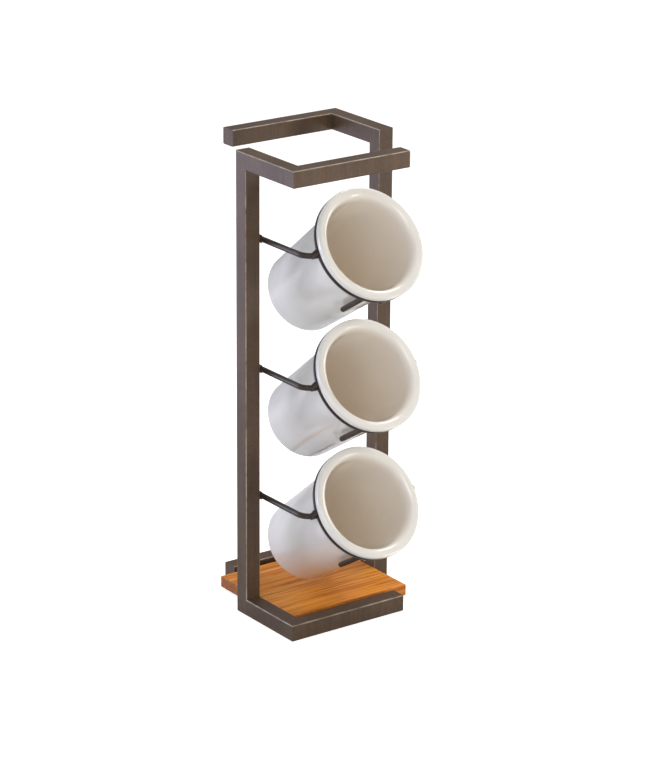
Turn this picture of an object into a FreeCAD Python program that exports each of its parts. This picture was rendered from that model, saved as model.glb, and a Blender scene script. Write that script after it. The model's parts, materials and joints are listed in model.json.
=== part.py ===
import FreeCAD, Part
import math
import os

# Vertical three-jar stand: two identical square-tube frames set half a turn apart,
# a wood board between their feet, and three leaning ceramic jars hung in wire rings.
# X runs left to right along the long bars, Y runs front to back, Z is up.
# The origin is on the floor, on the axis about which the two frames repeat.

V = FreeCAD.Vector
X_AXIS = V(1, 0, 0)
Y_AXIS = V(0, 1, 0)
Z_AXIS = V(0, 0, 1)
ORIGIN = V(0, 0, 0)

# ---- driving dimensions (millimetres) ----

# square tube frames
tube_side = 19.05
tube_wall = 1.5
tube_corner = 1.6
tube_bore_corner = 0.5
frame_width = 196.85
frame_depth = 196.85
frame_height = 533.4
long_bar_length = 152.4
end_plate_thickness = 1.5

# wood board and the flat steel plate it lies on
plate_thickness = 3.2
plate_width = 76.0
board_thickness = 13.3
board_depth = 141.0
board_side_gap = 0.4
board_edge_round = 0.8

# countersunk wood screws, driven up through the plate
screw_shank_dia = 3.8
screw_head_dia = 7.6
screw_head_height = 2.0
screw_head_inset = 0.2
screw_length = 12.5
screw_tip_length = 3.0
screw_recess_width = 0.9
screw_recess_span = 4.0
screw_recess_depth = 1.0
screw_spacing_x = 52.0
screw_spacing_y = 110.0

# wire rings, arms and prongs
wire_dia = 6.35
ring_radius = 60.7
ring_forward = 94.8
ring_low_height = 138.8
ring_pitch = 148.0
arm_setback = 2.8
arm_bend_radius = 15.0
arm_lap_back = 8.0
prong_angle = 26.0
prong_length = 48.0
prong_lean = 4.5

# weld beads
weld_reach = 9.0
weld_root_radius = 3.3
weld_ring_radius = 5.6
weld_lift = 2.4
weld_above_ring = 2.9
weld_below_ring = 5.0
lap_weld_radius = 4.5
lap_weld_gap = 1.2
lap_weld_inset = 1.0

# ceramic jar, measured down its own axis from the rim
jar_tilt = 35.0
jar_depth = 154.8
jar_rim_radius = 64.2
jar_lip_height = 8.0
jar_neck_radius = 54.8
jar_base_radius = 46.3
jar_wall = 3.8
jar_floor = 6.0
jar_lip_round = 2.4
jar_lip_face_width = 8.5
jar_mouth_round = 3.5
jar_flare_depth = 12.7
jar_neck_fillet = 1.4
jar_base_round = 4.5
jar_foot_inset = 6.5
jar_foot_height = 1.0
jar_inner_round = 9.0
jar_ring_gap = 0.3

# ---- derived placements ----

half_w = frame_width / 2
half_d = frame_depth / 2
half_s = tube_side / 2
inner_w = half_w - tube_side
inner_d = half_d - tube_side
wire_r = wire_dia / 2
tilt = math.radians(jar_tilt)
jar_axis = V(0, -math.cos(tilt), math.sin(tilt))
jar_down = V(0, -math.sin(tilt), -math.cos(tilt))
rim_above_ring = jar_lip_height + wire_r + jar_ring_gap
arm_x = inner_w - wire_r
arm_y = arm_setback - ring_forward
levels = ("bottom", "middle", "top")
nodes = {}


def prism(points, direction):
    """Solid swept straight from a closed outline."""
    outline = Part.makePolygon(list(points) + [points[0]])
    return Part.Face(outline).extrude(direction)


def round_long_edges(solid, axis, radius):
    """Round every straight edge that runs along one axis."""
    edges = []
    for edge in solid.Edges:
        span = edge.Vertexes[-1].Point - edge.Vertexes[0].Point
        if abs(span.dot(axis)) > 0.99 * span.Length:
            edges.append(edge)
    return solid.makeFillet(radius, edges)


def tube(low, high, axis):
    """Hollow square tube between two opposite corners, running along one axis."""
    size = high - low
    outer = Part.makeBox(size.x, size.y, size.z, low)
    outer = round_long_edges(outer, axis, tube_corner)
    wall = V(tube_wall, tube_wall, tube_wall)
    bore_low = low + wall - axis * (2 * tube_wall)
    bore_size = size - wall * 2 + axis * (4 * tube_wall)
    bore = Part.makeBox(bore_size.x, bore_size.y, bore_size.z, bore_low)
    bore = round_long_edges(bore, axis, tube_bore_corner)
    return outer.cut(bore)


def corner_square(centre, side_a, side_b, depth_axis):
    """Corner points of the square where two tubes meet, centred on the depth axis."""
    a = side_a * half_s
    b = side_b * half_s
    back = depth_axis * tube_side
    return centre - back, a, b


def mitre_cutter(centre, toward, across, depth_axis):
    """Half of a corner block: the half that belongs to the neighbouring tube.

    'toward' points from the corner along the tube being cut, 'across' points from
    the corner along its neighbour.
    """
    start, a, b = corner_square(centre, toward, across, depth_axis)
    reach = 3.0
    inner = start + a + b
    outer = start - (a + b) * reach
    far = start + b * reach * 2 - a * reach * 2
    diagonal_end = inner + (a + b)
    return prism([outer, diagonal_end, far], depth_axis * (2 * tube_side))


def upright():
    """Left upright, mitred at its top and its foot to the short arms."""
    low = V(-half_w, -half_s, 0)
    high = V(-inner_w, half_s, frame_height)
    body = tube(low, high, Z_AXIS)
    x_mid = -half_w + half_s
    foot = V(x_mid, 0, half_s)
    head = V(x_mid, 0, frame_height - half_s)
    body = body.cut(mitre_cutter(foot, Z_AXIS, Y_AXIS * -1, X_AXIS))
    return body.cut(mitre_cutter(head, Z_AXIS * -1, Y_AXIS * -1, X_AXIS))


def short_arm(z_mid, up):
    """Short tube from the upright to the front corner; 'up' points to the upright."""
    low = V(-half_w, -half_d, z_mid - half_s)
    high = V(-inner_w, half_s, z_mid + half_s)
    body = tube(low, high, Y_AXIS)
    x_mid = -half_w + half_s
    back = V(x_mid, 0, z_mid)
    front = V(x_mid, -half_d + half_s, z_mid)
    body = body.cut(mitre_cutter(back, Y_AXIS * -1, up, X_AXIS))
    return body.cut(mitre_cutter(front, Y_AXIS, X_AXIS, Z_AXIS))


def long_bar(z_mid):
    """Long front tube, mitred at the left corner and left square at its free end."""
    low = V(-half_w, -half_d, z_mid - half_s)
    high = V(-half_w + long_bar_length - end_plate_thickness, -inner_d, z_mid + half_s)
    body = tube(low, high, X_AXIS)
    corner = V(-half_w + half_s, -half_d + half_s, z_mid)
    return body.cut(mitre_cutter(corner, X_AXIS, Y_AXIS, Z_AXIS))


def end_plate(z_mid):
    """Flat plate that closes the free end of a long bar."""
    left = -half_w + long_bar_length - end_plate_thickness
    low = V(left, -half_d, z_mid - half_s)
    plate = Part.makeBox(end_plate_thickness, tube_side, tube_side, low)
    return round_long_edges(plate, X_AXIS, tube_corner)


def half_turn(solid):
    """The same piece on the other frame."""
    turned = solid.copy()
    turned.rotate(ORIGIN, Z_AXIS, 180)
    return turned


def add_frames():
    z_base = half_s
    z_top = frame_height - half_s
    left = {
        "left_upright": upright(),
        "left_base_arm": short_arm(z_base, Z_AXIS),
        "left_top_arm": short_arm(z_top, Z_AXIS * -1),
        "front_base_bar": long_bar(z_base),
        "front_top_bar": long_bar(z_top),
        "front_base_end_plate": end_plate(z_base),
        "front_top_end_plate": end_plate(z_top),
    }
    for name, solid in left.items():
        nodes[name] = solid
        other = name.replace("left", "right").replace("front", "rear")
        nodes[other] = half_turn(solid)


def screw_places():
    """Axis positions of the four board screws."""
    places = []
    for x in (-screw_spacing_x / 2, screw_spacing_x / 2):
        for y in (-screw_spacing_y / 2, screw_spacing_y / 2):
            places.append(V(x, y, 0))
    return places


def screw_envelope(place):
    """Outer shape of one countersunk screw, head down."""
    shank_r = screw_shank_dia / 2
    head_r = screw_head_dia / 2
    base = place + Z_AXIS * screw_head_inset
    head = Part.makeCone(head_r, shank_r, screw_head_height, base)
    shank_len = screw_length - screw_head_height - screw_tip_length
    shank = Part.makeCylinder(shank_r, shank_len, base + Z_AXIS * screw_head_height)
    tip_base = base + Z_AXIS * (screw_head_height + shank_len)
    tip = Part.makeCone(shank_r, screw_recess_width / 2, screw_tip_length, tip_base)
    return head.fuse([shank, tip]).removeSplitter()


def screw_with_recess(place):
    """One screw with its cross recess."""
    w = screw_recess_width
    span = screw_recess_span
    low = place - Z_AXIS * screw_head_inset
    deep = screw_recess_depth + 2 * screw_head_inset
    slot_x = Part.makeBox(span, w, deep, low - V(span / 2, w / 2, 0))
    slot_y = Part.makeBox(w, span, deep, low - V(w / 2, span / 2, 0))
    return screw_envelope(place).cut(slot_x.fuse(slot_y))


def add_board():
    """Board, support plate and screws at the foot of the stand."""
    head_r = screw_head_dia / 2
    low = V(-plate_width / 2, -inner_d, 0)
    plate = Part.makeBox(plate_width, 2 * inner_d, plate_thickness, low)
    for place in screw_places():
        plate = plate.cut(screw_envelope(place))
        plate = plate.cut(Part.makeCylinder(head_r, screw_head_inset, place))
    nodes["board_support_plate"] = plate
    length = 2 * (inner_w - board_side_gap)
    low = V(-length / 2, -board_depth / 2, plate_thickness)
    board = Part.makeBox(length, board_depth, board_thickness, low)
    board = board.makeFillet(board_edge_round, board.Edges)
    for place in screw_places():
        board = board.cut(screw_envelope(place))
    nodes["base_board"] = board
    nodes["board_screws"] = Part.makeCompound([screw_with_recess(p) for p in screw_places()])


def ring_centre(level):
    """Centre of a wire ring; level 0 is the lowest."""
    return V(0, -ring_forward, ring_low_height + level * ring_pitch)


def ring_wire(level):
    return Part.makeTorus(ring_radius, wire_r, ring_centre(level), jar_axis)


def arm_path(level, side):
    """Centre line of an arm: lapped on the upright, forward, then bent in to the ring's side."""
    z = ring_centre(level).z
    x = side * arm_x
    x_bend = side * (arm_x - arm_bend_radius)
    mid = arm_bend_radius * math.sin(math.pi / 4)
    y_bend = arm_y + arm_bend_radius
    start = V(x, arm_lap_back, z)
    turn_in = V(x, y_bend, z)
    turn_mid = V(x_bend + side * mid, y_bend - mid, z)
    turn_out = V(x_bend, arm_y, z)
    finish = V(side * ring_radius, arm_y, z)
    lines = [
        Part.makeLine(start, turn_in),
        Part.Arc(turn_in, turn_mid, turn_out).toShape(),
        Part.makeLine(turn_out, finish),
    ]
    return Part.Wire(lines)


def arm_rod(level, side):
    """Round rod swept along the arm's centre line, before it is coped to the ring."""
    path = arm_path(level, side)
    start = V(side * arm_x, arm_lap_back, ring_centre(level).z)
    section = Part.Wire(Part.makeCircle(wire_r, start, Y_AXIS))
    return path.makePipeShell([section], True, True)


def prong_rod(level, side):
    """Straight rod along the jar's underside, with a rounded free end."""
    turn = math.radians(prong_angle) * side
    outward = jar_down * math.cos(turn) + X_AXIS * math.sin(turn)
    root = ring_centre(level) + outward * ring_radius
    lean = math.radians(prong_lean)
    direction = jar_axis * (-math.cos(lean)) - outward * math.sin(lean)
    straight = prong_length - wire_r
    rod = Part.makeCylinder(wire_r, straight, root, direction)
    tip = Part.makeSphere(wire_r, root + direction * straight)
    return rod.fuse(tip).removeSplitter()


def ring_weld(level, side, ring, arm):
    """Fillet of weld metal between the end of an arm and the outside of its ring."""
    centre = ring_centre(level)
    uphill = jar_down * -1
    joint = V(side * ring_radius, arm_y, centre.z)
    far = joint + X_AXIS * (side * weld_reach)
    near = joint + uphill * weld_lift
    small = Part.Wire(Part.makeCircle(weld_root_radius, far, X_AXIS))
    large = Part.Wire(Part.makeCircle(weld_ring_radius, near, X_AXIS))
    bead = Part.makeLoft([small, large], True)
    slab = Part.makeBox(4 * weld_reach, 4 * weld_reach, weld_above_ring + weld_below_ring)
    slab.translate(V(-2 * weld_reach, -2 * weld_reach, -weld_below_ring))
    slab.rotate(ORIGIN, X_AXIS, 90 - jar_tilt)
    slab.translate(centre + X_AXIS * (side * ring_radius))
    bead = bead.common(slab)
    inside = Part.makeCylinder(ring_radius, 4 * weld_reach, centre - jar_axis * (2 * weld_reach), jar_axis)
    bead = bead.cut(inside)
    bead = bead.cut(ring).cut(arm)
    return max(bead.Solids, key=lambda part: part.Volume)


def lap_welds(level, side):
    """The two thin beads along an arm where it lies against its upright."""
    z = ring_centre(level).z
    length = arm_lap_back + half_s - 2 * lap_weld_inset
    start = V(side * arm_x, -half_s + lap_weld_inset, z)
    bead = Part.makeCylinder(lap_weld_radius, length, start, Y_AXIS)
    bead = bead.cut(Part.makeCylinder(wire_r, length, start, Y_AXIS))
    depth = wire_r
    x_low = arm_x if side > 0 else -arm_x - depth
    keep = Part.makeBox(depth, length, 2 * lap_weld_radius, V(x_low, start.y, z - lap_weld_radius))
    gap = Part.makeBox(depth, length, 2 * lap_weld_gap, V(x_low, start.y, z - lap_weld_gap))
    return bead.common(keep).cut(gap).Solids


def add_wires():
    """Rings, arms, prongs and their weld beads."""
    roots = []
    for level, name in enumerate(levels):
        ring = ring_wire(level)
        nodes[name + "_ring"] = ring
        beads = []
        for side_name, side in (("left", -1), ("right", 1)):
            arm = arm_rod(level, side).cut(ring)
            arm = max(arm.Solids, key=lambda part: part.Volume)
            nodes[name + "_" + side_name + "_arm"] = arm
            prong = prong_rod(level, side).cut(ring)
            nodes[name + "_" + side_name + "_prong"] = max(prong.Solids, key=lambda part: part.Volume)
            beads.append(ring_weld(level, side, ring, arm))
            roots.extend(lap_welds(level, side))
        nodes[name + "_ring_welds"] = Part.makeCompound(beads)
    nodes["arm_lap_welds"] = Part.makeCompound(roots)


def arc_points(centre, radius, start_deg, end_deg):
    """Start, middle and end points of an arc in the jar's profile plane."""
    points = []
    for share in (0.0, 0.5, 1.0):
        angle = math.radians(start_deg + (end_deg - start_deg) * share)
        points.append(V(centre[0] + radius * math.cos(angle), 0, centre[1] + radius * math.sin(angle)))
    return points


def jar_profile():
    """Closed half section of the jar: radius along X, height above the rim along Z."""
    neck_z = -jar_lip_height
    base_z = -jar_depth
    base_r = jar_base_radius
    lip = jar_lip_round
    rim_r = jar_rim_radius
    face_in = rim_r - jar_lip_face_width
    inner_base = base_r - jar_wall
    inner_neck = jar_neck_radius - jar_wall
    floor_z = base_z + jar_floor
    foot_r = base_r - jar_foot_inset
    edges = []

    def line(a, b):
        edges.append(Part.makeLine(a, b))

    def arc(points):
        edges.append(Part.Arc(*points).toShape())

    foot = [V(0, 0, base_z + jar_foot_height), V(foot_r - jar_foot_height, 0, base_z + jar_foot_height)]
    line(foot[0], foot[1])
    line(foot[1], V(foot_r, 0, base_z))
    base_arc = arc_points((base_r - jar_base_round, base_z + jar_base_round), jar_base_round, -90, 0)
    line(V(foot_r, 0, base_z), base_arc[0])
    arc(base_arc)
    neck = V(jar_neck_radius, 0, neck_z - jar_neck_fillet)
    line(base_arc[2], neck)
    neck_arc = arc_points((jar_neck_radius + jar_neck_fillet, neck_z - jar_neck_fillet), jar_neck_fillet, 180, 90)
    arc(neck_arc)
    under = arc_points((rim_r - lip, neck_z + lip), lip, -90, 0)
    line(neck_arc[2], under[0])
    arc(under)
    over = arc_points((rim_r - lip, -lip), lip, 0, 90)
    line(under[2], over[0])
    arc(over)
    mouth = arc_points((face_in + jar_mouth_round, -jar_mouth_round), jar_mouth_round, 90, 180)
    line(over[2], mouth[0])
    arc(mouth)
    inner_top = V(inner_neck, 0, -jar_flare_depth)
    line(mouth[2], inner_top)
    curve = arc_points((inner_base - jar_inner_round, floor_z + jar_inner_round), jar_inner_round, 0, -90)
    line(inner_top, curve[0])
    arc(curve)
    line(curve[2], V(0, 0, floor_z))
    line(V(0, 0, floor_z), foot[0])
    return Part.Face(Part.Wire(edges))


def add_jars():
    """Three identical jars, each hung by its lip on its ring."""
    upright_jar = jar_profile().revolve(ORIGIN, Z_AXIS, 360)
    for level, name in enumerate(levels):
        jar = upright_jar.copy()
        jar.rotate(ORIGIN, X_AXIS, 90 - jar_tilt)
        jar.translate(ring_centre(level) + jar_axis * rim_above_ring)
        nodes[name + "_jar"] = jar


add_frames()
add_board()
add_wires()
add_jars()

os.makedirs("parts", exist_ok=True)
for node_name, node_shape in nodes.items():
    node_shape.exportStep("parts/" + node_name + ".step")
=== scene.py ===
import json
import math

import bmesh
import bpy
from mathutils import Matrix, Vector


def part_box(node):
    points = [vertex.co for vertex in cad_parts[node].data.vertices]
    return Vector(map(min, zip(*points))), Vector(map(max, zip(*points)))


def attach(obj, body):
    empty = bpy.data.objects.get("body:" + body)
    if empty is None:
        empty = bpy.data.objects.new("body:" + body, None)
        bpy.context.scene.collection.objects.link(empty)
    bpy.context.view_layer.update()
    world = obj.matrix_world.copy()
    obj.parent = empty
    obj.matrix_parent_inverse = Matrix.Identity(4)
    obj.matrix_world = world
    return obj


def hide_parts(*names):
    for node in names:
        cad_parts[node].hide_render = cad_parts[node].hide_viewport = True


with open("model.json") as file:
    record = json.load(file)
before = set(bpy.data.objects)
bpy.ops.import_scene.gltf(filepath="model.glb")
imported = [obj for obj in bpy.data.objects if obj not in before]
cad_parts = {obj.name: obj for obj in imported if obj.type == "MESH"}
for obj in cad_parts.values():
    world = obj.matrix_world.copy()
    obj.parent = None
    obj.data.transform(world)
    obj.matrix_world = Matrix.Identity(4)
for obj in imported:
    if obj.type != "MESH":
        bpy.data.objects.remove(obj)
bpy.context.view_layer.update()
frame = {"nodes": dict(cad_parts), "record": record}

MM = 0.001
NODES = frame["nodes"]
LEVELS = ("bottom", "middle", "top")
scene = bpy.context.scene

# ---- sizes shared with the CAD model, in millimetres ----
RING_FORWARD = 94.8
RING_LOW = 138.8
RING_PITCH = 148.0
WIRE_RADIUS = 3.175
JAR_TILT = math.radians(35.0)
JAR_DEPTH = 154.8
RIM_RADIUS = 64.2
LIP_HEIGHT = 8.0
LIP_ROUND = 2.4
NECK_RADIUS = 54.8
NECK_FILLET = 1.4
BASE_RADIUS = 46.3
JAR_WALL = 3.8
JAR_FLOOR = 6.0
FOOT_RADIUS = 39.8
FOOT_HEIGHT = 1.0
RING_GAP = 0.3
BOARD_ROUND = 0.8
JAR_AXIS = Vector((0, -math.cos(JAR_TILT), math.sin(JAR_TILT)))

# ---- jar curves that are smoother here than in the CAD model, in millimetres ----
BASE_ROUND = 6.0
INNER_ROUND = 10.0
FOOT_FLAT_INSET = 1.2
FOOT_STEP = 0.8
# curve points as (inward from the rim's edge, down from the rim)
FACE_CURVE = ((4.4, 0.0), (6.2, 0.25), (8.2, 0.9))
FLARE_CURVE = ((10.6, 1.9), (12.6, 5.2))
FLARE_DEPTH = 14.5
FLARE_END_GAP = 0.1
# these arcs begin or end a little off level, so that they run into the next curve; in degrees
BASE_ARC_START = -84
CROWN_ARC_END = 84
# share of the warmer glaze under the jar, and at the end of the face, of the flare and of the wall
WARM_UNDERSIDE, WARM_FACE, WARM_FLARE, WARM_FLOOR = 0.1, 0.15, 0.55, 1.0
# mesh steps along each stretch of the jar's section, and around the jar
SECTION_STEPS = {"foot": 4, "base": 10, "outer_wall": 26, "neck": 6, "under_lip": 4, "lip_edge": 8,
                 "crown": 10, "face": 8, "flare": 16, "inner_wall": 24, "floor": 10}
LATHE_STEPS = 160

# ---- board: stave joints from front to back in millimetres, and a tone from 0 to 1 a stave ----
STAVE_JOINTS = (-30.7, -14.0, -1.0, 34.0, 52.0)
STAVE_TONES = (0.80, 0.95, 0.70, 0.55, 0.25, 0.35)
# front and back faces of the board, told by how far the face's normal points along Y
SIDE_TONE = 0.0
SIDE_FACING = 0.9
GROOVE_HALF = 0.35
GROOVE_SHOULDER = 4 * GROOVE_HALF
GROOVE_DEPTH = 0.25
BOARD_ARC_STEPS = 4
BOARD_END_ANGLES = (30, 60, 90)
BOARD_SPANS = 12

# ---- finishes, as linear colours; a ramp is written as (place, colour or grey) ----
BRONZE_DARK, BRONZE_LIGHT = (0.068, 0.041, 0.023), (0.104, 0.066, 0.038)
WIRE_DARK, WIRE_LIGHT = (0.030, 0.021, 0.014), (0.048, 0.034, 0.024)
# light cream colour painted on the frame's up-facing rounded edges as an edge highlight
PAINTED_EDGE_HIGHLIGHT = (0.50, 0.43, 0.34)
COAT_TINT = (1.0, 0.92, 1.0, 1.0)
SEAM_COLOUR = (0.92, 0.56, 0.20)
GLAZE_OUTER = ((0.3, (0.745, 0.735, 0.70)), (0.7, (0.80, 0.79, 0.75)))
GLAZE_INNER = ((0.3, (0.90, 0.80, 0.68)), (0.7, (0.93, 0.845, 0.735)))
WOOD_BANDS = ((0.28, (0.36, 0.095, 0.012)), (0.41, (0.66, 0.225, 0.026)),
              (0.55, (0.82, 0.320, 0.040)), (0.74, (0.93, 0.430, 0.072)))
WOOD_STREAKS = ((0.31, 0.26), (0.39, 0.84), (0.48, 1.0), (0.70, 1.10))
WOOD_TONES = ((0.0, (0.76, 0.64, 0.55)), (0.5, (0.94, 0.88, 0.82)), (1.0, (1.08, 1.08, 1.05)))
WOOD_ENDS = ((0.3, (0.13, 0.038, 0.010)), (0.5, (0.30, 0.10, 0.024)), (0.7, (0.48, 0.19, 0.05)))
STEEL_GREYS = ((0.3, (0.40, 0.39, 0.38)), (0.7, (0.56, 0.55, 0.53)))
# how far the grain is moved along each axis for a stave of tone 1, in metres
STAVE_SHIFT = (0.37, 0.61, 0.23)

# ---- studio, in metres, watts and degrees ----
FLOOR_COLOUR = (0.78, 0.78, 0.78, 1)
FLOOR_GLOW = 0.74
FLOOR_RADIUS = 9.0
FLOOR_SIDES = 96
FLOOR_HEIGHT = -0.0004
# world colour from the left (0) to the right (1)
WORLD_STOPS = ((0.0, (0.54, 0.54, 0.62, 1)), (0.35, (0.41, 0.41, 0.43, 1)),
               (1.0, (0.29, 0.28, 0.25, 1)))
# name, place, target, size, power, colour
LIGHTS = (
    ("front_key", (-0.05, -1.10, 0.95), (0, -0.05, 0.45), (0.4, 0.4), 3.1, (1.0, 0.94, 0.84)),
    ("right_low_sheen", (0.85, -1.25, 0.18), (0, -0.10, 0.45), (0.35, 0.35), 3.4,
     (1.0, 0.88, 0.72)),
    ("top_right_soft", (0.94, 0.12, 1.66), (0, 0, 0.20), (0.7, 0.7), 12, (1.0, 0.97, 0.92)),
    ("left_rear_soft", (-1.12, 0.95, 0.20), (0, 0, 0.15), (0.8, 0.9), 12, (0.76, 0.78, 1.0)),
    ("left_rear_high", (-0.60, 1.15, 1.20), (0, 0, 0.40), (0.6, 0.6), 4.5, (0.86, 0.90, 1.0)),
    ("left_front_fill", (-1.5, -1.4, 1.1), (0, 0, 0.30), (1.2, 1.2), 9, (0.97, 0.98, 1.0)),
    ("right_side_soft", (1.35, -0.50, 0.55), (0, -0.10, 0.30), (0.6, 0.6), 4, (1.0, 0.97, 0.92)),
)
CAMERA_AZIMUTH = math.radians(-35.84)
CAMERA_ELEVATION = math.radians(19.18)
CAMERA_ROLL = math.radians(0.35)
CAMERA_DISTANCE = 3.52
CAMERA_TARGET = Vector((0.0075, -0.0054, 0.2487))
CAMERA_SENSOR = 36.0
CAMERA_LENS = 147.33
CAMERA_CLIP_END = 50.0


# ------------------------------------------------------------------ node helpers
class Graph:
    """A short way to write a material's nodes."""

    def __init__(self, name):
        self.mat = bpy.data.materials.new(name)
        self.mat.use_nodes = True
        self.tree = self.mat.node_tree
        self.tree.nodes.clear()
        self.out = self.add("ShaderNodeOutputMaterial")
        self.bsdf = self.add("ShaderNodeBsdfPrincipled")
        self.link(self.bsdf.outputs[0], self.out.inputs["Surface"])
        self.coord = self.add("ShaderNodeTexCoord").outputs["Object"]

    def add(self, kind, **values):
        node = self.tree.nodes.new(kind)
        for key, value in values.items():
            setattr(node, key, value)
        return node

    def link(self, a, b):
        self.tree.links.new(a, b)

    def put(self, socket, value):
        if isinstance(value, bpy.types.NodeSocket):
            self.link(value, socket)
        else:
            socket.default_value = value

    def set(self, **values):
        names = {"color": "Base Color", "rough": "Roughness", "metal": "Metallic",
                 "coat": "Coat Weight", "coat_rough": "Coat Roughness", "ior": "IOR",
                 "spec": "Specular IOR Level", "normal": "Normal", "tint": "Specular Tint"}
        for key, value in values.items():
            self.put(self.bsdf.inputs[names[key]], value)

    def mapped(self, scale, vector=None):
        node = self.add("ShaderNodeMapping")
        node.inputs["Scale"].default_value = scale
        self.link(vector or self.coord, node.inputs["Vector"])
        return node.outputs[0]

    def noise(self, scale, detail, rough=0.5, vector=None, distort=0.0):
        node = self.add("ShaderNodeTexNoise")
        node.inputs["Scale"].default_value = scale
        node.inputs["Detail"].default_value = detail
        node.inputs["Roughness"].default_value = rough
        node.inputs["Distortion"].default_value = distort
        self.link(vector or self.coord, node.inputs["Vector"])
        return node.outputs["Fac"]

    def ramp(self, fac, stops):
        node = self.add("ShaderNodeValToRGB")
        points = node.color_ramp.elements
        while len(points) < len(stops):
            points.new(0.5)
        for point, (pos, colour) in zip(points, stops):
            point.position = pos
            if not isinstance(colour, tuple):
                colour = (colour, colour, colour)
            point.color = (*colour, 1)
        self.link(fac, node.inputs[0])
        return node.outputs[0]

    def span(self, value, from_low, from_high, to_low, to_high):
        node = self.add("ShaderNodeMapRange")
        for i, limit in enumerate((from_low, from_high, to_low, to_high)):
            node.inputs[1 + i].default_value = limit
        self.link(value, node.inputs[0])
        return node.outputs[0]

    def math(self, kind, a, b=0.0):
        node = self.add("ShaderNodeMath", operation=kind)
        self.put(node.inputs[0], a)
        self.put(node.inputs[1], b)
        return node.outputs[0]

    def mix(self, fac, a, b, kind="MIX"):
        node = self.add("ShaderNodeMix", data_type="RGBA", blend_type=kind)
        self.put(node.inputs[0], fac)
        for socket, value in ((node.inputs[6], a), (node.inputs[7], b)):
            self.put(socket, (*value, 1) if isinstance(value, tuple) else value)
        return node.outputs[2]

    def bump(self, height, strength, distance, normal=None):
        node = self.add("ShaderNodeBump")
        node.inputs["Strength"].default_value = strength
        node.inputs["Distance"].default_value = distance
        self.link(height, node.inputs["Height"])
        if normal is not None:
            self.link(normal, node.inputs["Normal"])
        return node.outputs[0]

    def attribute(self, name):
        return self.add("ShaderNodeAttribute", attribute_name=name).outputs["Fac"]

    def normal_axes(self, kind):
        """The x, y and z parts of the surface's normal."""
        split = self.add("ShaderNodeSeparateXYZ")
        self.link(self.add("ShaderNodeNewGeometry").outputs[kind], split.inputs[0])
        return split.outputs

    def edge_mask(self):
        """1 in the middle of rounded edges, 0 on faces square to the axes or facing down."""
        facing = self.normal_axes("Normal")
        sides = [self.math("ABSOLUTE", facing[i]) for i in range(3)]
        largest = self.math("MAXIMUM", self.math("MAXIMUM", sides[0], sides[1]), sides[2])
        facing_up = self.span(facing[2], -0.30, -0.05, 0.0, 1.0)
        return self.math("MULTIPLY", self.span(largest, 0.99, 0.80, 0.0, 1.0), facing_up)


# ------------------------------------------------------------------ materials
def powder_coat(name, dark, light, rough, edges=False):
    """Satin bronze powder coat: fine orange peel, drifting tone and, if asked for, a painted
    highlight of light cream in patches along the rounded edges that face up.
    """
    g = Graph(name)
    cloud = g.noise(scale=14.0, detail=4.0, rough=0.6)
    grain = g.noise(scale=1400.0, detail=2.0, rough=0.6)
    brushed = g.noise(scale=1.0, detail=3.0, rough=0.6, vector=g.mapped((240.0, 240.0, 10.0)))
    colour = g.ramp(cloud, ((0.3, dark), (0.7, light)))
    colour = g.mix(0.6, colour, g.ramp(brushed, ((0.3, 0.80), (0.7, 1.2))), "MULTIPLY")
    colour = g.mix(0.8, colour, g.ramp(grain, ((0.35, 0.62), (0.65, 1.38))), "MULTIPLY")
    satin = g.span(grain, 0.3, 0.7, rough - 0.05, rough + 0.06)
    if edges:
        # painted highlight: light cream laid in patches on the rounded edges that face up, where
        # the lamps glint; those edges are also made less rough
        edge = g.edge_mask()
        patchy = g.span(g.noise(scale=60.0, detail=4.0, rough=0.6), 0.35, 0.65, 0.25, 0.9)
        painted_highlight = g.math("MULTIPLY", edge, patchy)
        colour = g.mix(painted_highlight, colour, PAINTED_EDGE_HIGHLIGHT)
        satin = g.math("SUBTRACT", satin, g.math("MULTIPLY", edge, 0.20))
    g.set(color=colour, rough=satin, spec=0.36, ior=1.5, tint=COAT_TINT)
    peel = g.noise(scale=520.0, detail=2.0)
    peeled = g.bump(peel, strength=0.30, distance=0.00025)
    g.set(normal=g.bump(grain, strength=0.30, distance=0.00010, normal=peeled))
    return g.mat


def glaze_material():
    """White glossy glaze: whiter and cooler outside, creamier inside, faintly wavy and specked."""
    g = Graph("jar_white_glaze")
    inside = g.attribute("inside")
    drift = g.noise(scale=16.0, detail=3.0)
    colour = g.mix(inside, g.ramp(drift, GLAZE_OUTER), g.ramp(drift, GLAZE_INNER))
    pits = g.ramp(g.noise(scale=240.0, detail=2.0), ((0.22, 0.90), (0.33, 1.0)))
    g.set(color=g.mix(1.0, colour, pits, "MULTIPLY"), ior=1.55)
    gloss = g.noise(scale=40.0, detail=3.0)
    g.set(rough=g.span(gloss, 0.3, 0.7, 0.10, 0.20), coat=0.6, coat_rough=0.04)
    wave = g.noise(scale=20.0, detail=2.0, rough=0.45)
    ripple = g.noise(scale=80.0, detail=2.0)
    waved = g.bump(wave, strength=0.40, distance=0.0022)
    g.set(normal=g.bump(ripple, strength=0.10, distance=0.0004, normal=waved))
    return g.mat


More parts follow.
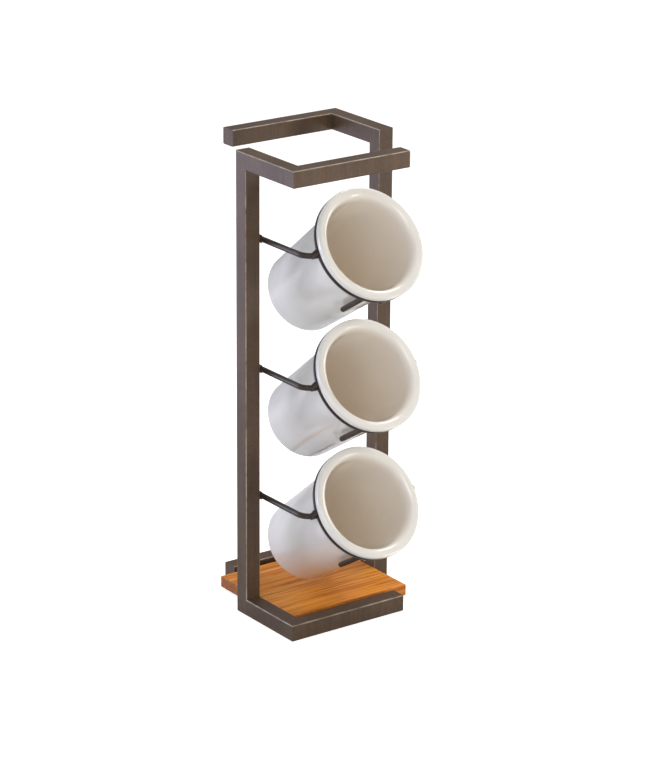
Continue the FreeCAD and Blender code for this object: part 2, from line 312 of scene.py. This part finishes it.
def wood_material():
    """Straight-grained warm hardwood in staves along X; the ends show end grain."""
    g = Graph("board_warm_hardwood")
    stave = g.attribute("stave")
    shift = g.add("ShaderNodeCombineXYZ")
    for socket, amount in zip(shift.inputs, STAVE_SHIFT):
        g.link(g.math("MULTIPLY", stave, amount), socket)
    moved = g.add("ShaderNodeVectorMath", operation="ADD")
    g.link(g.coord, moved.inputs[0])
    g.link(shift.outputs[0], moved.inputs[1])
    vec = moved.outputs[0]
    bands = g.noise(scale=1.0, detail=4.0, rough=0.62, vector=g.mapped((7.0, 190.0, 190.0), vec),
                    distort=0.9)
    streak = g.noise(scale=1.0, detail=2.0, vector=g.mapped((12.0, 430.0, 430.0), vec),
                     distort=0.8)
    fibre = g.noise(scale=1.0, detail=3.0, rough=0.65,
                    vector=g.mapped((34.0, 1500.0, 1500.0), vec))
    colour = g.ramp(bands, WOOD_BANDS)
    colour = g.mix(0.75, colour, g.ramp(streak, WOOD_STREAKS), "MULTIPLY")
    colour = g.mix(0.6, colour, g.ramp(fibre, ((0.3, 0.68), (0.65, 1.15))), "MULTIPLY")
    colour = g.mix(1.0, colour, g.ramp(stave, WOOD_TONES), "MULTIPLY")
    seam = g.attribute("seam")
    colour = g.mix(g.math("MULTIPLY", seam, 0.55), colour, SEAM_COLOUR)
    rings = g.noise(scale=1.0, detail=3.0, rough=0.6, vector=g.mapped((60.0, 260.0, 700.0), vec),
                    distort=1.2)
    ends = g.ramp(rings, WOOD_ENDS)
    end_face = g.span(g.math("ABSOLUTE", g.normal_axes("True Normal")[0]), 0.6, 0.9, 0.0, 1.0)
    g.set(color=g.mix(end_face, colour, ends), rough=g.span(fibre, 0.3, 0.7, 0.50, 0.38), spec=0.3)
    streaked = g.bump(streak, strength=0.22, distance=0.0003)
    g.set(normal=g.bump(fibre, strength=0.25, distance=0.0002, normal=streaked))
    return g.mat


def steel_material():
    """Plain zinc-coloured screw steel with turning marks."""
    g = Graph("screw_plain_steel")
    grain = g.noise(scale=1.0, detail=2.0, vector=g.mapped((600.0, 600.0, 60.0)))
    g.set(color=g.ramp(grain, STEEL_GREYS), metal=1.0)
    g.set(rough=g.span(grain, 0.3, 0.7, 0.28, 0.42))
    g.set(normal=g.bump(grain, strength=0.1, distance=0.0001))
    return g.mat


BRONZE = powder_coat("bronze_powder_coat", BRONZE_DARK, BRONZE_LIGHT, rough=0.44, edges=True)
WIRE_COAT = powder_coat("wire_bronze_coat", WIRE_DARK, WIRE_LIGHT, rough=0.32)
GLAZE = glaze_material()
WOOD = wood_material()
STEEL = steel_material()


# ------------------------------------------------------------------ mesh helpers
def new_object(name, bm, material, smooth=True):
    mesh = bpy.data.meshes.new(name)
    bm.to_mesh(mesh)
    bm.free()
    mesh.materials.append(material)
    for poly in mesh.polygons:
        poly.use_smooth = smooth
    obj = bpy.data.objects.new(name, mesh)
    scene.collection.objects.link(obj)
    return obj


def arc(cx, cz, radius, start, end, steps):
    """Points on an arc about (cx, cz), with angles in degrees."""
    points = []
    for i in range(steps + 1):
        a = math.radians(start + (end - start) * i / steps)
        points.append((cx + radius * math.cos(a), cz + radius * math.sin(a)))
    return points


def bezier(p0, p1, p2, p3, steps):
    """Points along a cubic curve."""
    points = []
    for i in range(steps + 1):
        t = i / steps
        u = 1 - t
        weighted = tuple(zip((u ** 3, 3 * u * u * t, 3 * u * t * t, t ** 3), (p0, p1, p2, p3)))
        points.append(tuple(sum(weight * point[k] for weight, point in weighted) for k in (0, 1)))
    return points


def between(a, b, steps):
    """Points on the line from a to b, leaving out both."""
    return [tuple(a[k] + (b[k] - a[k]) * i / steps for k in (0, 1)) for i in range(1, steps)]


# ------------------------------------------------------------------ jars
def jar_matrix(level):
    """Places a jar modelled along Z, with its rim at z = 0 and its body below."""
    turn = Matrix.Rotation(math.pi / 2 - JAR_TILT, 4, "X")
    ring_centre = Vector((0, -RING_FORWARD, RING_LOW + level * RING_PITCH)) * MM
    rim_above_ring = (LIP_HEIGHT + WIRE_RADIUS + RING_GAP) * MM
    return Matrix.Translation(ring_centre + JAR_AXIS * rim_above_ring) @ turn


def jar_profile():
    """Half section in millimetres, from the middle of the underside, up the outside, over the lip
    and down to the middle of the floor. The third value is the share of the warmer glaze."""
    points = []
    steps = SECTION_STEPS

    def put(stretch, warm_start, warm_end=None):
        warm_end = warm_start if warm_end is None else warm_end
        for i, (radius, height) in enumerate(stretch):
            share = i / max(1, len(stretch) - 1)
            points.append((radius, height, warm_start + (warm_end - warm_start) * share))

    # foot and outer base corner
    bottom = -JAR_DEPTH
    foot_top = bottom + FOOT_HEIGHT
    foot_flat = FOOT_RADIUS - FOOT_FLAT_INSET
    put([(0.0, foot_top), (FOOT_RADIUS / 2, foot_top), (foot_flat, foot_top)], WARM_UNDERSIDE)
    put(bezier((FOOT_RADIUS - FOOT_STEP, foot_top), (FOOT_RADIUS, foot_top),
               (FOOT_RADIUS, bottom), (FOOT_RADIUS + FOOT_STEP, bottom), steps["foot"]), 0.0)
    base = arc(BASE_RADIUS - BASE_ROUND, bottom + BASE_ROUND, BASE_ROUND, BASE_ARC_START, 0,
               steps["base"])
    put(base, 0.0)

    # outer wall, neck fillet and lip
    neck = arc(NECK_RADIUS + NECK_FILLET, -LIP_HEIGHT - NECK_FILLET, NECK_FILLET, 180, 90,
               steps["neck"])
    put(between(base[-1], neck[0], steps["outer_wall"]), 0.0)
    put(neck, 0.0)
    lip_centre = RIM_RADIUS - LIP_ROUND
    lip_edge = arc(lip_centre, -LIP_HEIGHT + LIP_ROUND, LIP_ROUND, -90, 0, steps["lip_edge"])
    put(between(neck[-1], lip_edge[0], steps["under_lip"]), 0.0)
    put(lip_edge, 0.0)
    crown = arc(lip_centre, -LIP_ROUND, LIP_ROUND, 0, CROWN_ARC_END, steps["crown"])
    put(crown, 0.0)

    # the lip's face, the flared mouth, the inner wall and the floor
    face_points = [(RIM_RADIUS - inward, -drop) for inward, drop in FACE_CURVE]
    face = bezier(crown[-1], *face_points, steps["face"])
    put(face[1:], 0.0, WARM_FACE)
    flare_end = (NECK_RADIUS - JAR_WALL + FLARE_END_GAP, -FLARE_DEPTH)
    flare_points = [(RIM_RADIUS - inward, -drop) for inward, drop in FLARE_CURVE]
    flare = bezier(face_points[-1], *flare_points, flare_end, steps["flare"])
    put(flare[1:], WARM_FACE, WARM_FLARE)
    floor_height = bottom + JAR_FLOOR
    floor = arc(BASE_RADIUS - JAR_WALL - INNER_ROUND, floor_height + INNER_ROUND, INNER_ROUND,
                0, -90, steps["floor"])
    put(between(flare_end, floor[0], steps["inner_wall"]), WARM_FLARE, WARM_FLOOR)
    put(floor, WARM_FLOOR)
    put([(FOOT_RADIUS / 2, floor_height), (0.0, floor_height)], WARM_FLOOR)
    return points


def lathe(name, profile, matrix, material):
    """Turned mesh with a float attribute that holds each vertex's share of the warmer glaze."""
    bm = bmesh.new()
    layer = bm.verts.layers.float.new("inside")
    rings = []
    for radius, height, warm in profile:
        count = 1 if radius == 0.0 else LATHE_STEPS
        ring = []
        for i in range(count):
            a = 2 * math.pi * i / LATHE_STEPS
            point = Vector((radius * math.cos(a), radius * math.sin(a), height)) * MM
            v = bm.verts.new(matrix @ point)
            v[layer] = warm
            ring.append(v)
        rings.append(ring * (LATHE_STEPS // count))
    for low, high in zip(rings, rings[1:]):
        for i in range(LATHE_STEPS):
            j = (i + 1) % LATHE_STEPS
            corners = []
            for v in (low[i], low[j], high[j], high[i]):
                if v not in corners:
                    corners.append(v)
            if len(corners) > 2:
                bm.faces.new(corners)
    return new_object(name, bm, material)


def make_jars():
    for level, name in enumerate(LEVELS):
        jar = lathe(name + "_jar_glazed", jar_profile(), jar_matrix(level), GLAZE)
        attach(jar, name + "_jar_body")
        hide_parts(name + "_jar")


# ------------------------------------------------------------------ board
def board_section(half_depth, low, high):
    """Outline across the board as (y, z, seam): up the front, over the top, down the back."""
    r = BOARD_ROUND
    front, back = -half_depth + r, half_depth - r

    def corner(cy, cz, start, end):
        return [(y, z, 0.0) for y, z in arc(cy, cz, r, start, end, BOARD_ARC_STEPS)]

    points = corner(front, low + r, -90, -180) + corner(front, high - r, 180, 90)
    for joint in STAVE_JOINTS:
        points.append((joint - GROOVE_SHOULDER, high, 0.0))
        points.append((joint - GROOVE_HALF, high, 1.0))
        points.append((joint, high - GROOVE_DEPTH, 1.0))
        points.append((joint + GROOVE_HALF, high, 1.0))
        points.append((joint + GROOVE_SHOULDER, high, 0.0))
    return points + corner(back, high - r, 90, 0) + corner(back, low + r, 0, -90)


def board_stations(half_length):
    """Places along the board as (x, inset from the outline): rounded ends and even spans."""
    rounded = [(-half_length, BOARD_ROUND)]
    for angle in BOARD_END_ANGLES:
        a = math.radians(angle)
        rounded.append((-half_length + BOARD_ROUND * (1 - math.cos(a)),
                        BOARD_ROUND * (1 - math.sin(a))))
    inner = half_length - BOARD_ROUND
    middle = [(-inner + 2 * inner * i / BOARD_SPANS, 0.0) for i in range(1, BOARD_SPANS)]
    return rounded + middle + [(-x, inset) for x, inset in reversed(rounded)]


def make_board():
    """The board's staves in one closed mesh, with a fine groove along each joint."""
    box_low, box_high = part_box("base_board")
    half_length, half_depth = box_high[0] / MM, box_high[1] / MM
    low, high = box_low[2] / MM, box_high[2] / MM
    section = board_section(half_depth, low, high)
    bm = bmesh.new()
    seam = bm.verts.layers.float.new("seam")
    stave = bm.faces.layers.float.new("stave")
    loops = []
    for x, inset in board_stations(half_length):
        loop = []
        for y, z, mark in section:
            y = min(max(y, -half_depth + inset), half_depth - inset)
            z = min(max(z, low + inset), high - inset)
            v = bm.verts.new(Vector((x, y, z)) * MM)
            v[seam] = mark
            loop.append(v)
        loops.append(loop)
    count = len(section)
    for a, b in zip(loops, loops[1:]):
        for i in range(count):
            j = (i + 1) % count
            bm.faces.new((a[i], a[j], b[j], b[i]))
    bm.faces.new(reversed(loops[0]))
    bm.faces.new(loops[-1])
    bmesh.ops.recalc_face_normals(bm, faces=bm.faces)
    for face in bm.faces:
        y = face.calc_center_median().y / MM
        tone = STAVE_TONES[sum(y > joint for joint in STAVE_JOINTS)]
        face[stave] = SIDE_TONE if abs(face.normal.y) > SIDE_FACING else tone
    board = new_object("board_staves", bm, WOOD, smooth=False)
    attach(board, "stand")
    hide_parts("base_board")


# ------------------------------------------------------------------ carried-over CAD nodes
def finish_cad_nodes():
    """Gives every CAD node the finish of its material slot."""
    finish = {"frame_steel": BRONZE, "wire_steel": WIRE_COAT, "weld_metal": WIRE_COAT,
              "board_wood": WOOD, "screw_steel": STEEL, "jar_glaze": GLAZE}
    for entry in frame["record"]["subparts"]:
        node = NODES[entry["node"]]
        node.data.materials.clear()
        node.data.materials.append(finish[entry["material_slot"]])


# ------------------------------------------------------------------ stage, light and camera
def stage_floor():
    """Flat white disc: bright where the camera sees it, plain pale matt for every other ray."""
    g = Graph("stage_white_floor")
    g.set(color=FLOOR_COLOUR, rough=0.9, spec=0.1)
    lit = g.add("ShaderNodeEmission")
    lit.inputs["Strength"].default_value = FLOOR_GLOW
    both = g.add("ShaderNodeAddShader")
    g.link(g.bsdf.outputs[0], both.inputs[0])
    g.link(lit.outputs[0], both.inputs[1])
    path = g.add("ShaderNodeLightPath")
    choose = g.add("ShaderNodeMixShader")
    g.link(path.outputs["Is Camera Ray"], choose.inputs[0])
    g.link(g.bsdf.outputs[0], choose.inputs[1])
    g.link(both.outputs[0], choose.inputs[2])
    g.link(choose.outputs[0], g.out.inputs["Surface"])
    bm = bmesh.new()
    bmesh.ops.create_circle(bm, cap_ends=True, segments=FLOOR_SIDES, radius=FLOOR_RADIUS)
    floor = new_object("stage_floor", bm, g.mat, smooth=False)
    floor.location.z = FLOOR_HEIGHT


def area_light(name, place, target, size, power, colour):
    data = bpy.data.lights.new(name, "AREA")
    data.shape = "RECTANGLE"
    data.size, data.size_y = size
    data.energy = power
    data.color = colour
    lamp = bpy.data.objects.new(name, data)
    lamp.location = place
    lamp.rotation_euler = (Vector(target) - Vector(place)).to_track_quat("-Z", "Y").to_euler()
    scene.collection.objects.link(lamp)


def world_light():
    """Soft surround, cool and bright on the left, warmer and dimmer on the right; plain white
    where the camera sees it."""
    world = bpy.data.worlds.new("studio_world")
    world.use_nodes = True
    tree = world.node_tree
    tree.nodes.clear()
    out = tree.nodes.new("ShaderNodeOutputWorld")
    path = tree.nodes.new("ShaderNodeLightPath")
    mix = tree.nodes.new("ShaderNodeMixShader")
    soft = tree.nodes.new("ShaderNodeBackground")
    coord = tree.nodes.new("ShaderNodeTexCoord")
    split = tree.nodes.new("ShaderNodeSeparateXYZ")
    ramp = tree.nodes.new("ShaderNodeValToRGB")
    side = tree.nodes.new("ShaderNodeMapRange")
    side.inputs[1].default_value = -1.0
    side.inputs[2].default_value = 1.0
    tree.links.new(coord.outputs["Generated"], split.inputs[0])
    tree.links.new(split.outputs[0], side.inputs[0])
    tree.links.new(side.outputs[0], ramp.inputs[0])
    ramp.color_ramp.elements.new(0.5)
    for element, (pos, colour) in zip(ramp.color_ramp.elements, WORLD_STOPS):
        element.position = pos
        element.color = colour
    tree.links.new(ramp.outputs[0], soft.inputs[0])
    seen = tree.nodes.new("ShaderNodeBackground")
    seen.inputs[0].default_value = (1, 1, 1, 1)
    tree.links.new(path.outputs["Is Camera Ray"], mix.inputs[0])
    tree.links.new(soft.outputs[0], mix.inputs[1])
    tree.links.new(seen.outputs[0], mix.inputs[2])
    tree.links.new(mix.outputs[0], out.inputs[0])
    scene.world = world


def photo_camera():
    """Studio view from the left front, about 19 degrees above level."""
    sin_az, cos_az = math.sin(CAMERA_AZIMUTH), math.cos(CAMERA_AZIMUTH)
    cos_el = math.cos(CAMERA_ELEVATION)
    back = Vector((sin_az * cos_el, -cos_az * cos_el, math.sin(CAMERA_ELEVATION)))
    right = Vector((cos_az, sin_az, 0))
    up = back.cross(right)
    side = right * math.cos(CAMERA_ROLL) + up * math.sin(CAMERA_ROLL)
    top = up * math.cos(CAMERA_ROLL) - right * math.sin(CAMERA_ROLL)
    data = bpy.data.cameras.new("photo_camera")
    data.sensor_width = CAMERA_SENSOR
    data.sensor_fit = "AUTO"
    data.lens = CAMERA_LENS
    data.clip_end = CAMERA_CLIP_END
    camera = bpy.data.objects.new("photo_camera", data)
    place = Matrix((side, top, back)).transposed().to_4x4()
    place.translation = CAMERA_TARGET + back * CAMERA_DISTANCE
    camera.matrix_world = place
    scene.collection.objects.link(camera)
    scene.camera = camera


def studio():
    """Stage, lights and camera."""
    scene.view_settings.view_transform = "Standard"
    scene.view_settings.look = "None"
    stage_floor()
    world_light()
    for light in LIGHTS:
        area_light(*light)
    photo_camera()


finish_cad_nodes()
make_jars()
make_board()
studio()
